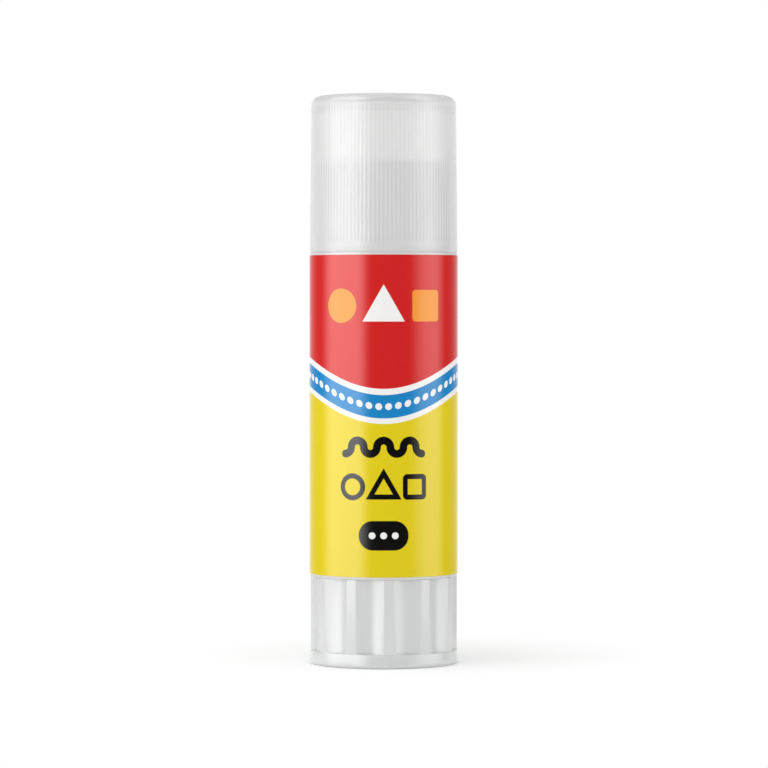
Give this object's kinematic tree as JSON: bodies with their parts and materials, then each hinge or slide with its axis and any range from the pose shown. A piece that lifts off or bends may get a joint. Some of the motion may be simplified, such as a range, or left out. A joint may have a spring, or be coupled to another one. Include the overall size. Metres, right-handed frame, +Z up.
{
  "type": "glue stick",
  "caption": "Twist-up glue stick: ribbed push-on cap, printed wrap, white barrel and a fluted base knob that raises the glue on a lead screw.",
  "frame": {"origin": "on the stick's axis, at the foot of the base knob, where it stands", "axes": "+Z up along the stick's axis, from the knob to the cap; -Y faces the viewer and +X is to the right"},
  "size_m": [0.022, 0.022, 0.084],
  "materials": {
    "barrel_plastic": "white moulded polypropylene, satin gloss, slightly translucent at the neck",
    "label_film": "printed glossy film wrap: red over yellow with a blue band, plain shapes and no words",
    "knob_plastic": "natural white translucent polypropylene, satin gloss",
    "inner_plastic": "plain white moulded plastic",
    "glue_paste": "waxy off-white adhesive, smooth and slightly dished on top",
    "cap_plastic": "clear-natural translucent polypropylene with fine upright ribs, gloss roof"
  },
  "bodies": {
    "barrel": {"barrel": "barrel_plastic", "label": "label_film"},
    "knob": {"knob": "knob_plastic", "lead_screw": "inner_plastic"},
    "carriage": {"carriage": "inner_plastic", "glue": "glue_paste"},
    "cap": {"cap": "cap_plastic"}
  },
  "joints": [
    {"name": "knob_turn", "type": "hinge", "parent": "barrel", "child": "knob", "pos_m": [0, 0, 0.0064], "axis": [0, 0, 1], "range_deg": [0, 756.1]},
    {"name": "carriage_rise", "type": "slide", "parent": "barrel", "child": "carriage", "axis": [0, 0, 1], "range_m": [0, 0.0105]},
    {"name": "cap_pull", "type": "slide", "parent": "barrel", "child": "cap", "axis": [0, 0, 1], "range_m": [0, 0.03]}
  ],
  "couplings": [
    {"joint": "knob_turn", "follows": "carriage_rise", "rad_per_m": 1256.6}
  ]
}
